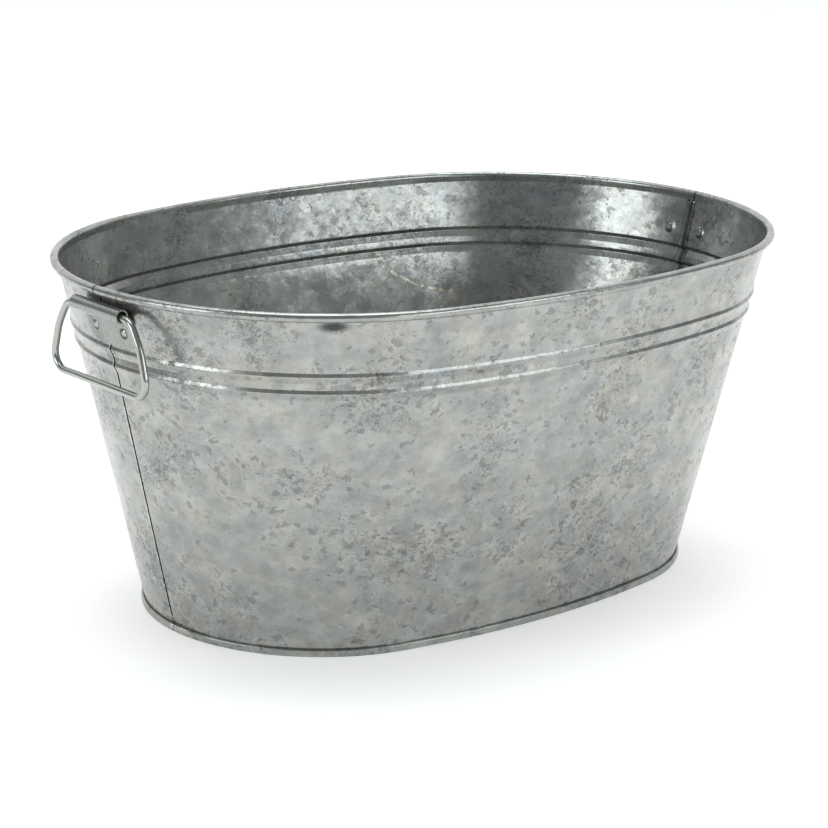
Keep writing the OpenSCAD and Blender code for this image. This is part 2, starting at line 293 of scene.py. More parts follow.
# %% Plan of the rim
SIDE_K = (END_C**2 - SIDE_BOW**2) / (2 * SIDE_BOW)
SIDE_R = END_R + math.hypot(END_C, SIDE_K)
MEET = math.atan2(SIDE_K, END_C)
END_WALK = END_R * MEET
QUARTER = END_WALK + SIDE_R * (math.pi / 2 - MEET)


def oval(walk):
    """Point on the rim's centre line and the way out of the tub there, for each walk in mm."""
    lap = np.mod(np.asarray(walk, float), 4 * QUARTER)
    half = np.mod(lap, 2 * QUARTER)
    first = np.where(half > QUARTER, 2 * QUARTER - half, half)
    at_end = first < END_WALK
    angle = np.where(at_end, first / END_R, MEET + (first - END_WALK) / SIDE_R)
    radius = np.where(at_end, END_R, SIDE_R)
    turned = np.where(lap > 2 * QUARTER, -1.0, 1.0)
    mirrored = np.where(half > QUARTER, -1.0, 1.0) * turned
    out = np.stack([np.cos(angle) * mirrored, np.sin(angle) * turned], -1)
    centre = np.stack([np.where(at_end, END_C, 0.0) * mirrored, np.where(at_end, 0.0, -SIDE_K) * turned], -1)
    return centre + radius[..., None] * out, out


print(f"one walk round the rim is {4 * QUARTER:.0f} mm")

# %% [markdown]
# ## The section of the wall
#
# All the way round, the wall has the same section: a hook inside the foot, a straight lean, two
# pressed ribs, an upright neck and the roll round the wire. The distance out from the rim's centre
# line is u, and z is the height.

# %% Lean of the wall
LAYER = SHEET + FOLD_GAP
NECK_U = SHEET - BEAD_R
NECK_Z = RIM_Z - NECK_H
FOOT_BEND_Z = FOOT_H + 0.5
LEAN = FLARE / (NECK_Z - FOOT_BEND_Z)
LEAN_ANGLE = math.atan(LEAN)


def wall_u(z):
    """How far out the wall's outer face is at height z, leaving the ribs aside."""
    return NECK_U - LEAN * (NECK_Z - z)


FOOT_U = wall_u(FOOT_BEND_Z)
print(f"the wall leans out by {math.degrees(LEAN_ANGLE):.1f} degrees")

# %% [markdown]
# The section is written as the few corners that a toolmaker would dimension, each with the radius
# of its bend. `rounded` turns a corner into an arc, and `stepped` puts in more points where a long
# straight would be too coarse to bend. A Bezier curve could draw the section as well, but its
# handles say nothing about a bend's radius.

# %% Bends and steps
BEND_STEP = 8


def swung(arm, angle):
    """The arm turned by an angle, anticlockwise."""
    c, s = math.cos(angle), math.sin(angle)
    return np.array([arm[0] * c - arm[1] * s, arm[0] * s + arm[1] * c])


def rounded(corners):
    """A path through (u, z, radius) corners, with each corner turned on its radius."""
    path = [np.array(corners[0][:2], float)]
    for (pu, pz, _), (qu, qz, radius), (su, sz, _) in zip(corners, corners[1:], corners[2:]):
        p, q, s = np.array([pu, pz]), np.array([qu, qz]), np.array([su, sz])
        a = (q - p) / np.linalg.norm(q - p)
        b = (s - q) / np.linalg.norm(s - q)
        turn = math.atan2(a[0] * b[1] - a[1] * b[0], a @ b)
        side = math.copysign(1, turn) * np.array([-a[1], a[0]])
        centre = q - a * radius * math.tan(abs(turn) / 2) + radius * side
        steps = max(2, math.ceil(math.degrees(abs(turn)) / BEND_STEP))
        for i in range(steps + 1):
            path.append(centre + swung(-radius * side, turn * i / steps))
    path.append(np.array(corners[-1][:2], float))
    return np.array(path)


def stepped(path, longest):
    """The same path with points added, so that no step at height z is longer than longest(z)."""
    points = [path[0]]
    for a, b in zip(path, path[1:]):
        steps = max(1, math.ceil(np.linalg.norm(b - a) / longest((a[1] + b[1]) / 2)))
        points += [a + (b - a) * (i + 1) / steps for i in range(steps)]
    return np.array(points)


print("a right angle becomes", len(rounded([(0, 0, 0), (9, 0, 3), (9, 9, 0)])), "points")

# %% [markdown]
# Each rib rises outward on a long slope and falls back on a short flank that faces up. The flank
# is what mirrors the lights, so its slope matters more than the rib's height. The heights hang
# from the rim, because a tinsmith would measure them from there.

# %% Section of the wall
RIB_DROP = 41.2
RIB_PITCH = 11.7
RIB_OUT = 1.7
RIB_FLANK = 2.6
RIB_SLOPE = 4.8
RIB_BEND = 1.3
RIB_SWEEP = 2
RIB_Z = RIM_Z - RIB_DROP
RIB_TOP = RIB_Z + RIB_FLANK
RIB_FOOT = RIB_Z - RIB_PITCH - RIB_SLOPE
RIVET_DROP = 26.4
RIVET_Z = RIM_Z - RIVET_DROP
RIVET_REACH = 6.5
FINE_STEP = 0.8
COARSE_STEP = 5.0
HOOK_TOP = 4.1
HOOK_BEND = 0.35
SOFT_BEND = 3
CURL = 305
ROLL_STEPS = 31


def wall_step(z):
    """Fine rows near the rivets' height, coarse ones on the plain wall."""
    return FINE_STEP if abs(z - RIVET_Z) < RIVET_REACH else COARSE_STEP


def wall_section():
    hook_u = FOOT_U - SHEET + 2 * LAYER
    hook_z = LAYER + SHEET
    corners = [(hook_u, HOOK_TOP, 0), (hook_u, hook_z, HOOK_BEND), (FOOT_U, hook_z, HOOK_BEND),
               (FOOT_U, FOOT_BEND_Z, SOFT_BEND)]
    for crest in (RIB_Z - RIB_PITCH, RIB_Z):
        foot, top = crest - RIB_SLOPE, crest + RIB_FLANK
        corners += [(wall_u(foot), foot, RIB_SWEEP), (wall_u(crest) + RIB_OUT, crest, RIB_BEND),
                    (wall_u(top), top, RIB_BEND)]
    corners += [(NECK_U, NECK_Z, SOFT_BEND), (NECK_U, RIM_Z, 0)]
    plain = rounded(corners)
    turns = np.radians(np.linspace(180, 180 - CURL, ROLL_STEPS + 1))[1:]
    inside = BEAD_R - SHEET
    roll = np.stack([inside * np.cos(turns), RIM_Z + inside * np.sin(turns)], 1)
    upright = stepped(plain[:-1], wall_step)
    return np.concatenate([upright, plain[-1:], roll])


SECTION = wall_section()
print(f"the wall's section has {len(SECTION)} points, from {SECTION[0].round(1)} to {SECTION[-1].round(1)}")

# %% [markdown]
# ## From grids to sheet metal
#
# A pressed sheet is easiest to model as one face of the metal, laid out as a grid of points, and
# then thickened. The last helper below takes any number of grids, sews them where they share
# points, thickens the result with a Solidify modifier and rounds the cut edges if asked. What it
# makes is real metal with two faces.

# %% Helpers that make meshes
MERGE = 0.001


def finish_mesh(obj, sharp_degrees):
    """Turns the modifiers into plain mesh, smooth except at real edges."""
    graph = bpy.context.evaluated_depsgraph_get()
    made = bpy.data.meshes.new_from_object(obj.evaluated_get(graph))
    obj.modifiers.clear()
    old = obj.data
    obj.data = made
    bpy.data.meshes.remove(old)
    made.name = obj.name
    made.polygons.foreach_set("use_smooth", [True] * len(made.polygons))
    made.set_sharp_from_angle(angle=math.radians(sharp_degrees))
    return obj


def new_object(name, points, faces):
    mesh = bpy.data.meshes.new(name)
    mesh.from_pydata((np.asarray(points) * MM).tolist(), [], faces)
    obj = bpy.data.objects.new(name, mesh)
    scene.collection.objects.link(obj)
    return obj


def sew(grids):
    """Points and faces of several grids, each an array of columns by rows by (x, y, z)."""
    points, faces, start = [], [], 0
    for grid in grids:
        columns, rows = grid.shape[:2]
        points.append(grid.reshape(-1, 3))
        for i in range(columns - 1):
            for j in range(rows - 1):
                a = start + i * rows + j
                faces.append((a, a + rows, a + rows + 1, a + 1))
        start += columns * rows
    return np.concatenate(points), faces


def merge(obj, outward=False):
    """Merges points that lie together. If asked, it also turns every face outward."""
    work = bmesh.new()
    work.from_mesh(obj.data)
    bmesh.ops.remove_doubles(work, verts=work.verts, dist=MERGE * MM)
    if outward:
        bmesh.ops.recalc_face_normals(work, faces=work.faces)
    work.to_mesh(obj.data)
    work.free()


def sheet_metal(name, grids, thickness, edge=0.0, sharp_degrees=35):
    """Sews grids into one sheet. The grids hold the face that the metal lies behind."""
    obj = new_object(name, *sew(grids))
    merge(obj)
    thicken =obj.modifiers.new("thickness", "SOLIDIFY")
    thicken.thickness = thickness * MM
    thicken.offset = -1
    if edge:
        soften = obj.modifiers.new("edge", "BEVEL")
        soften.width = edge * MM
        soften.segments = 2
        soften.limit_method = "ANGLE"
        soften.angle_limit = math.radians(50)
    return finish_mesh(obj, sharp_degrees)


# %% [markdown]
# ## The two half-shells
#
# The wall is made of two sheets that meet at the ends. Each sheet's edge is folded back on itself,
# and the two folds hook into each other and are hammered flat: a grooved lock seam. From outside
# only a narrow groove shows, with a bright line where the rounded fold catches the light. From
# inside a strip stands proud of the wall. Both folds are drawn in plan as a path of (y, depth),
# where depth is how far in from the wall's outer face the metal lies.
#
# A dark line on one wall would be a cheaper seam. Real folds are worth their points here, because
# the groove runs over both ribs and bends with them.

# %% Lock seams in plan
SEAM_HALF = 2.5
SEAM_LAYER = LAYER + 0.02
SEAM_MOUTH = 1.5
SEAM_Z = (BASE_Z + 1, NECK_Z - 1)
HIDDEN_Y = 0.6
MOUTH_BEND = 0.35
STEP_BEND = 0.3


def arc(centre, radius, start, end, steps):
    """Points (y, depth) on an arc. At 0 degrees y is largest, at 90 the depth is smallest."""
    angles = np.radians(np.linspace(start, end, steps + 1))
    return np.stack([centre[0] + radius * np.cos(angles), centre[1] - radius * np.sin(angles)], 1)


def under_fold():
    """The edge that folds under, from its hidden end to where the wall is flat again."""
    deep = 2 * SEAM_LAYER + SHEET
    fold_r = deep / 2
    fold_y = -SEAM_HALF + fold_r
    hidden = [[SEAM_HALF - LAYER, deep], [HIDDEN_Y, deep]]
    return np.concatenate([hidden, arc((fold_y, fold_r), fold_r, 270, 90, 12)])


def over_fold():
    """The edge that steps in behind the other one and hooks over it, from the flat wall on."""
    deep = 3 * SEAM_LAYER
    top = SEAM_LAYER + SHEET
    step_y = SEAM_HALF + SEAM_MOUTH
    hook_r = (deep - top) / 2
    hook_y = -SEAM_HALF + hook_r + SHEET
    return np.concatenate([
        arc((step_y + MOUTH_BEND, MOUTH_BEND), MOUTH_BEND, 90, 180, 5),
        arc((step_y - STEP_BEND, deep - STEP_BEND), STEP_BEND, 0, -90, 4),
        arc((hook_y, deep - hook_r), hook_r, 270, 90, 8),
        [[HIDDEN_Y, top], [SEAM_HALF - LAYER, top]]])


print(f"a lock seam has {len(under_fold()) + len(over_fold())} points in plan")

# %% [markdown]
# A rivet head would stand proud of the sheet, so the sheet is pressed into a shallow round dish
# under it. Cutting a dish with a boolean would leave a hard edge. Moving the points inward by a
# smooth share of the depth gives the soft rim that a press leaves.

# %% Dishes for the rivets
RIVET_SPAN = 32.0
RIVET_ANGLE = RIVET_SPAN / 2 / (END_R + wall_u(RIVET_Z))
DISH_FLOOR_R = 3.1
DISH_R = 4.4
DISH_DEPTH = 0.8
DISH_FADE = (DISH_FLOOR_R - 0.2, DISH_R + 0.4)
SAME_END = 6


def smooth(t):
    """Goes from 0 to 1 as t does, with no corner at either end."""
    t = np.clip(t, 0, 1)
    return t * t * (3 - 2 * t)


def rivet_places(side):
    """Foot of each rivet's axis and the way out of the wall there, at the end where x is side."""
    for turn in (-RIVET_ANGLE, RIVET_ANGLE):
        out = np.array([side * math.cos(turn), math.sin(turn), 0])
        foot = np.array([side * END_C, 0, RIVET_Z]) + out * (END_R + wall_u(RIVET_Z))
        yield foot, out * math.cos(LEAN_ANGLE) - np.array([0, 0, math.sin(LEAN_ANGLE)])


def dish(points):
    """Presses the rivets' round dishes into a sheet of points."""
    full, none = DISH_FADE
    for side in (-1, 1):
        for foot, out in rivet_places(side):
            arm = points - foot
            along = arm @ out
            away = np.linalg.norm(arm - along[..., None] * out, axis=-1)
            near = (np.abs(along) < SAME_END).astype(float)
            press = smooth((none - away) / (none - full)) * near
            points = points - press[..., None] * DISH_DEPTH * out
    return points


print(f"the rivets sit {RIVET_Z:.1f} mm up, {math.degrees(RIVET_ANGLE):.1f} degrees off the seam")

# %% [markdown]
# Thin sheet is never quite flat. A sum of a few long waves moves it by some tenths of a
# millimetre, and the seed gives each half its own waves. Noise could move the points too, but it
# has short ripples, which a mirror would show at once. The waves fade out where the sheet is held.

# %% Waves of the thin sheet
WAVE_SIZES = (0.16, 0.12, 0.09, 0.06, 0.04)
WAVE_LENGTH = 1100
WAVE_HEIGHT = 900
BAND_SHARE = 0.35


def sheet_waves(walk, z, seed):
    """How far the thin sheet stands out from its true face, in mm."""
    draw = np.random.default_rng(seed)
    total = np.zeros(np.broadcast(walk, z).shape)
    for size in WAVE_SIZES:
        along = draw.uniform(0.6, 1.6) * 2 * math.pi / (WAVE_LENGTH * size)
        up = draw.uniform(0.4, 1.0) * 2 * math.pi / (WAVE_HEIGHT * size)
        total += size * np.sin(along * walk + up * z * draw.choice([-1, 1]) + draw.uniform(0, 6.28))
    plain_wall = smooth((z - 12) / 40) * smooth((RIB_FOOT - 3 - z) / 25)
    band = BAND_SHARE * smooth((z - RIB_TOP - 2) / 6) * smooth((NECK_Z - 2 - z) / 6)
    from_seam = np.minimum(np.abs(walk), np.abs(2 * QUARTER - walk))
    return total * (plain_wall + band * smooth((from_seam - 34) / 30)) * smooth((from_seam - 12) / 60)


print("the sheet stands out by up to", sum(WAVE_SIZES), "mm")

# %% [markdown]
# The plain wall has one column of points for each walk round the rim, and one row for each point
# of the section. Close to a seam the columns keep their y instead, because the folds are drawn in
# plan. A grid that is sewn to another ends on the very same points.

# %% Grids of the wall
SEAM_WALK = 7.5
FINE_REACH = 6.4
MIDDLE_COLUMNS = 180


def along_wall(walks, seed):
    """Grid of the plain wall at the given walks."""
    point, out = oval(walks)
    u, z = SECTION[:, 0][None, :], SECTION[:, 1][None, :]
    reach = u + sheet_waves(walks[:, None], z, seed)
    flat = point[:, None, :] + reach[..., None] * out[:, None, :]
    return np.concatenate([flat, np.broadcast_to(z[..., None], flat.shape[:2] + (1,))], -1)


def near_seam(side, plan, rows):
    """Grid of columns that keep their y, for a plan path of (y, depth) at the end where x is side."""
    y, depth = plan[:, 0][:, None], plan[:, 1][:, None]
    reach = END_R + rows[:, 0][None, :] - depth
    x = side * (END_C + np.sqrt(reach**2 - y**2))
    return np.stack([x, np.broadcast_to(y, x.shape), np.broadcast_to(rows[:, 1][None, :], x.shape)], -1)


def wall_walks():
    """Columns of the plain wall, fine near the rivets and at most 4 mm apart elsewhere."""
    rivet = RIVET_ANGLE * END_R
    fine = np.arange(rivet - FINE_REACH, rivet + FINE_REACH + 0.1, FINE_STEP)
    start = rivet + 9
    middle = np.linspace(start, 2 * QUARTER - start, MIDDLE_COLUMNS)
    return np.concatenate([[SEAM_WALK], fine, middle, 2 * QUARTER - fine[::-1], [2 * QUARTER - SEAM_WALK]])


print(f"the plain wall has {len(wall_walks())} columns, at most {np.diff(wall_walks()).max():.1f} mm apart")

# %% [markdown]
# One function makes a half-shell on the far side, and the near one is the same piece turned
# round. Above and below the seam the sheet has no folds, and the two halves just meet edge to
# edge, in line with the edge of the seam's mouth.

# %% One half-shell
STRIP = (0.3, 2.0, 3.2, 5.0)


def flat_plan(*ys):
    """A plan path along the wall's outer face, through these y."""
    return np.stack([ys, np.zeros(len(ys))], 1)


def half_shell(name, seed, turned):
    in_seam = (SECTION[:, 1] > SEAM_Z[0]) & (SECTION[:, 1] < SEAM_Z[1])
    seam_rows = SECTION[in_seam]
    cut = np.flatnonzero(in_seam)
    below, above = SECTION[:cut[0] + 1], SECTION[cut[-1]:]
    wall = along_wall(wall_walks(), seed)
    under, over = under_fold(), over_fold()
    under_y, over_y = under[-1, 0], over[0, 0]
    right = np.concatenate([near_seam(1, flat_plan(under_y, *STRIP), SECTION), wall[:1]])
    left = np.concatenate([wall[-1:], near_seam(-1, flat_plan(STRIP[-1], over_y), SECTION)])
    grids = [wall, right, left, near_seam(1, under, seam_rows), near_seam(-1, over, seam_rows)]
    right_edge = flat_plan(-SEAM_HALF, under_y)
    left_edge = flat_plan(over_y, SEAM_HALF + FOLD_GAP)
    for part in (below, above):
        grids += [near_seam(1, right_edge, part), near_seam(-1, left_edge, part)]
    grids = [dish(grid) for grid in grids]
    if turned:
        grids = [grid * [-1, -1, 1] for grid in grids]
    return sheet_metal(name, grids, SHEET)


back = half_shell("back_half_shell", 3, False)
front = half_shell("front_half_shell", 8, True)
for shell, node in ((back, "back_shell"), (front, "front_shell")):
    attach(shell, "tub")
    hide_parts(node)
    print(shell.name, "has", len(shell.data.polygons), "faces")

# %% [markdown]
# ## Painted shade and highlight in the seams
#
# The mouth of a seam, the proud strip inside and the joint at the bead are darkened: painted
# shade, where the real groove lies in shadow. The rounded edge beside the mouth is lightened: a
# painted highlight. A mesh can carry a number at each of its points for this: above 0 the metal is
# darker, 0 leaves it as it is and below 0 it is lighter. The zinc material reads it later and
# darkens or lightens the metal by it. A painted image could carry the shade too, but the mesh would
# have to be unwrapped. The limits below say how far across the seam and how deep behind the wall's
# face the shade lies.

# %% Painted shade and highlight in the seams
MOUTH_EDGE = SEAM_HALF + SEAM_MOUTH
# Painted shade in the mouth and in the strip inside: how far across, then how deep.
MOUTH_SHADE = ((1.4, MOUTH_EDGE + 0.1), (0.3, 2.5))
INSIDE_SHADE = ((-3.3, -1.9), (0.45, 1.9))
JOINT_HALF = 0.2
# The painted highlight beside the mouth: half its width, its depth and its strength.
BRIGHT_HALF = 0.45
BRIGHT_DEPTH = 0.3
PAINTED_HIGHLIGHT = -0.6


def outer_face():
    """The section's points on the wall's outer face, from the foot up to the neck."""
    rising = SECTION[(SECTION[:, 1] > FOOT_H) & (SECTION[:, 1] < RIM_Z - 0.1)]
    rising = rising[np.argsort(rising[:, 1])]
    return rising[rising[:, 0] < NECK_U + 0.01]


OUTER_FACE = outer_face()


def places(obj):
    """All points of a mesh, in mm."""
    flat = np.empty(3 * len(obj.data.vertices))
    obj.data.vertices.foreach_get("co", flat)
    return flat.reshape(-1, 3) / MM


# Writes the number that carries the solder's brightness, painted shade and painted highlight.
def set_solder_and_painted_light(obj, amount):
    layer = obj.data.attributes.new("soil", "FLOAT", "POINT")
    layer.data.foreach_set("value", np.clip(amount, -1, 1).astype(np.float32))


def between(value, low, high):
    return (value > low) & (value < high)


def seam_shade_and_highlight(points):
    """Painted shade in the mouth, inside and at the bead's joint, and a painted highlight beside the mouth.
    """
    x, y, z = points.T
    across = -np.sign(x) * y
    wall = np.interp(z, OUTER_FACE[:, 1], OUTER_FACE[:, 0])
    depth = END_R + wall - np.hypot(np.abs(x) - END_C, y)
    at_end = np.abs(x) > END_C
    at_seam = at_end & between(z, SEAM_Z[0] - 2, SEAM_Z[1] + 1)
    shaded = at_end & ((z > SEAM_Z[1]) | (z < SEAM_Z[0])) & (np.abs(across - SEAM_HALF) < JOINT_HALF)
    for width, depths in (MOUTH_SHADE, INSIDE_SHADE):
        shaded |= at_seam & between(across, *width) & between(depth, *depths)
    bright = at_seam & (np.abs(across - MOUTH_EDGE - MOUTH_BEND) < BRIGHT_HALF) & (depth < BRIGHT_DEPTH)
    return np.where(shaded, 1.0, np.where(bright, PAINTED_HIGHLIGHT, 0.0))


for shell in (back, front):
    print(shell.name, "has", int((seam_shade_and_highlight(places(shell)) > 0).sum()), "dirty points in its seams")

# %% [markdown]
# Two more marks go on the shells, both painted shade: a dark ring in the dish round each rivet,
# and a small dark patch on the near side just under the rim, in place of a dent.

# %% Painted shade on the half-shells
# Where the painted shade of the dent lies, and its size.
DENT_SHADE_PLACE = (-194.1, -145.3, 239.7)
DENT_SHADE_SIZE = (9.0, 9.0, 3.2)
# How dark the painted shade round the rivets and at the dent is.
RING_AND_DENT_SHADE = 0.9
RING_ON_WALL = 3.5
RING_ON_PLATE = 4.2


# Painted shade standing in for a small dent just under the rim.
def dent_shade(points):
    away = (points - DENT_SHADE_PLACE) / DENT_SHADE_SIZE
    return RING_AND_DENT_SHADE * smooth(1.5 - np.linalg.norm(away, axis=1))


def rivet_ring_shade(points, reach):
    """Painted shade in a ring round each rivet, out to reach mm from its axis."""
    total = np.zeros(len(points))
    for side in (-1, 1):
        for foot, out in rivet_places(side):
            arm = points - foot
            away = np.linalg.norm(arm - (arm @ out)[:, None] * out, axis=1)
            total += RING_AND_DENT_SHADE * smooth(reach - away) * (np.abs(arm @ out) < 4)
    return total


for shell in (back, front):
    spots = places(shell)
    set_solder_and_painted_light(shell, seam_shade_and_highlight(spots) + dent_shade(spots) + rivet_ring_shade(spots, RING_ON_WALL))
    print(shell.name, "has", int((dent_shade(spots) > 0).sum()), "points in its smudge")

# %% [markdown]
# ## The base
#
# The base is a flat panel whose edge turns down, goes out under the wall's foot, up outside it and
# over the top: a double seam, like the end of a tin can. Only its outer ring touches the floor,
# so the panel itself stays clear. One section again does the whole oval.

# %% Section of the base
PANEL_EDGE = 14
PANEL_BEND = 1.3
FOLD_BEND = 0.4
HOOK_FOLD = 0.2
HOOK_END = 1.8
BASE_STEP = 3.5


def base_section():
    leg = FOOT_U - LAYER
    outer = FOOT_U + 3 * LAYER - SHEET
    hook = FOOT_U + LAYER
    top = FOOT_H - SHEET
    corners = [(leg - PANEL_EDGE, BASE_Z, 0), (leg, BASE_Z, PANEL_BEND), (leg, SHEET, FOLD_BEND),
               (outer, SHEET, FOLD_BEND), (outer, top, FOLD_BEND), (hook, top, HOOK_FOLD),
               (hook, HOOK_END, 0)]
    return stepped(rounded(corners), lambda z: BASE_STEP)


print("the base's section has", len(base_section()), "points")

# %% [markdown]
# The left seam ends at the foot in a row of solder lumps, which keep the water in. They could be
# lumps of their own, but solder wets the metal and grows out of it. So the outside of the foot
# swells in bell curves. Bare solder is a little brighter than the old zinc round it.

# %% Solder on the foot
LUMPS = ((-9, 3.0, 0.5), (-3, 2.2, 0.9), (2, 2.5, 0.6), (7, 3.0, 1.0), (12, 2.4, 0.7), (17, 2.0, 0.3))
SWELL_OUT = 0.7
SWELL_UP = 0.6
SOLDER_SHINE = -0.5
SOLDER_HALF = 12


def solder(walks):
    """How thick the solder is at these walks, from each lump's place, width and height."""
    from_seam = walks - 2 * QUARTER
    return sum(high * np.exp(-((from_seam - place) / wide) ** 2) for place, wide, high in LUMPS)


def solder_soil(points):
    x, y, z = points.T
    beside = np.exp(-((y + 4) / SOLDER_HALF) ** 4)
    outside = np.hypot(np.abs(x) - END_C, y) > END_R + FOOT_U + 0.5
    return SOLDER_SHINE * beside * (x < 0) * smooth((z - 1.5) / 1.5) * outside


print("the thickest lump of solder is", max(high for _, _, high in LUMPS), "mm")

# %% [markdown]
# The panel is closed by rings that shrink onto a line along the middle, because one flat face
# couldn't bend. A large thin panel is never dead flat: it has a low crown and oil-can waves.

# %% Base panel
CROWN = 0.5
OIL_CAN = 0.12
PANEL_RINGS = 14
BASE_COLUMNS = 361


def base_panel():
    walks = np.union1d(np.linspace(0, 4 * QUARTER, BASE_COLUMNS), 2 * QUARTER + np.arange(-16, 24))
    point, out = oval(walks)
    section = base_section()
    on_foot = smooth((section[:, 0] - FOOT_U - LAYER) / LAYER) * smooth(section[:, 1] / 3)
    lump = solder(walks)[:, None] * on_foot[None, :]
    u = section[None, :, 0] + SWELL_OUT * lump
    z = section[None, :, 1] + SWELL_UP * lump
    ring = np.concatenate([point[:, None, :] + u[..., None] * out[:, None, :], z[..., None]], -1)
    edge = ring[:, 0, :]
    spine = edge * [END_C / (END_C + END_R + FOOT_U), 0, 1]
    share = np.linspace(1, 0, PANEL_RINGS + 1)[None, :, None]
    panel = edge[:, None, :] * (1 - share) + spine[:, None, :] * share
    waves = np.sin(panel[..., 0] / 31 + 1) * np.sin(panel[..., 1] / 27)
    rise = CROWN * smooth(share[..., 0] * 1.1)
    panel[..., 2] += rise + OIL_CAN * waves * smooth(share[..., 0] * 4)
    return sheet_metal("base_with_double_seam", [ring[:, ::-1], panel[:, ::-1]], SHEET)


base = base_panel()
set_solder_and_painted_light(base, solder_soil(places(base)))
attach(base, "tub")
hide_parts("base_panel")
print(base.name, "has", len(base.data.polygons), "faces")

# %% [markdown]
# ## Brackets
#
# A bracket is one blank of 1 mm plate. Its lower part is curved to the wall, with two rounded
# corners. Above the rivets it steps out to a straight neck, and its top is rolled into a tube, the
# knuckle, for the handle's wire. The grid has columns that keep their y: lower rows follow the
# wall, upper rows lie in a plane, and a smooth step joins the two.

# %% Brackets
PLATE = 1.0
BRACKET_HALF = 27.0
LOBE_R = 10.8
JOGGLE_DROP = 19.3
JOGGLE_HALF = 1.2
PIVOT_DROP = 12.9
HANDLE_D = 5.0
PIVOT_GAP = 0.3
KNUCKLE_BORE = 3.7
KNUCKLE_CURL = 318
NECK_GAP = 0.15
PLATE_GAP = 0.07

WIRE_HALF = HANDLE_D / 2
KNUCKLE_R = KNUCKLE_BORE + PLATE
PIVOT_Z = RIM_Z - PIVOT_DROP
KNUCKLE_Z = PIVOT_Z + KNUCKLE_BORE - WIRE_HALF - PIVOT_GAP
KNUCKLE_X = END_C + END_R + wall_u(KNUCKLE_Z) + (KNUCKLE_R + NECK_GAP) / math.cos(LEAN_ANGLE)
SLOPE = np.array([math.sin(LEAN_ANGLE), math.cos(LEAN_ANGLE)])
OUTWARD = np.array([math.cos(LEAN_ANGLE), -math.sin(LEAN_ANGLE)])
CORNER_COLUMNS = 16
MIDDLE_PLATE = 45
PLATE_ROWS = 44
KNUCKLE_STEPS = 39
PLATE_EDGE = 0.22


def plate_columns():
    """y of each column, closer together towards the rounded corners."""
    flat = BRACKET_HALF - LOBE_R
    corner = flat + LOBE_R * np.sin(np.radians(np.linspace(0, 90, CORNER_COLUMNS + 1)[1:]))
    middle = np.linspace(-flat, flat, MIDDLE_PLATE)
    return np.concatenate([-corner[::-1], middle, corner])


def plate_back(y, z):
    """x of the plate's back where it follows the wall."""
    return END_C + np.sqrt((END_R + wall_u(z) + PLATE_GAP / math.cos(LEAN_ANGLE))**2 - y**2)


def bracket(name, side):
    y = plate_columns()[:, None]
    beyond = np.maximum(np.abs(y) - (BRACKET_HALF - LOBE_R), 0)
    bottom = RIVET_Z - np.sqrt(LOBE_R**2 - beyond**2)
    knuckle = np.array([KNUCKLE_X, KNUCKLE_Z])
    neck_top = knuckle - KNUCKLE_R * OUTWARD
    z = bottom + (neck_top[1] - bottom) * np.linspace(0, 1, PLATE_ROWS)[None, :]
    straight = neck_top[0] + (z - neck_top[1]) * math.tan(LEAN_ANGLE)
    step = smooth((z - (RIM_Z - JOGGLE_DROP - JOGGLE_HALF)) / (2 * JOGGLE_HALF))
    x = plate_back(y, z) * (1 - step) + straight * step
    turns = np.radians(np.linspace(180, 180 - KNUCKLE_CURL, KNUCKLE_STEPS + 1))[1:, None]
    roll = knuckle + KNUCKLE_R * (np.cos(turns) * OUTWARD + np.sin(turns) * SLOPE)
    x =np.concatenate([x, np.broadcast_to(roll[:, 0], (len(y), len(roll)))], 1)
    z = np.concatenate([z, np.broadcast_to(roll[:, 1], (len(y), len(roll)))], 1)
    grid = np.stack([side * x, side * np.broadcast_to(y, x.shape), z], -1)
    return sheet_metal(name, [dish(grid)[:, ::-1]], PLATE, edge=PLATE_EDGE, sharp_degrees=50)


ENDS = ((-1, "left"), (1, "right"))
for side, word in ENDS:
    plate = bracket(word + "_bracket_plate", side)
    # The plate gets the same painted shade round its rivets.
    set_solder_and_painted_light(plate, rivet_ring_shade(places(plate), RING_ON_PLATE))
    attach(plate, "tub")
    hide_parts(word + "_bracket")
    print(plate.name, "has", len(plate.data.polygons), "faces")

# %% [markdown]
# ## Rivets
#
# A rivet is a turned shape, so its half section is spun round its axis. The head outside is a low
# dome with a rounded edge. The tail is closed with a hand tool, which leaves a flat disc, dished a
# little in the middle. Joining a sphere to a cylinder would give the same head with a worse mesh.

# %% Rivets
HEAD_R = 2.7
HEAD_H = 1.3
SHANK_R = 1.6
TAIL_R = 2.4
TAIL_H = 0.7
SEAT_GAP = 0.05
RIVET_SIDES = 40
HEAD_ROUND = 0.12
TAIL_ROUND = 0.15
TAIL_LOWER_ROUND = 0.25
TAIL_DISH = 0.12


def spun(name, half_section, foot, out):
    """Spins points of (radius, height) round the axis that leaves foot in the direction out."""
    out = out / np.linalg.norm(out)
    across = np.cross(out, [0, 0, 1])
    across = across / np.linalg.norm(across)
    other = np.cross(out, across)
    turns = np.linspace(0, 2 * math.pi, RIVET_SIDES + 1)
    ring = np.cos(turns)[:, None] * across + np.sin(turns)[:, None] * other
    grid = (foot + half_section[:, 0][None, :, None] * ring[:, None, :]
            + half_section[:, 1][None, :, None] * out)
    obj = new_object(name, *sew([grid]))
    merge(obj, outward=True)
    return finish_mesh(obj, 40)


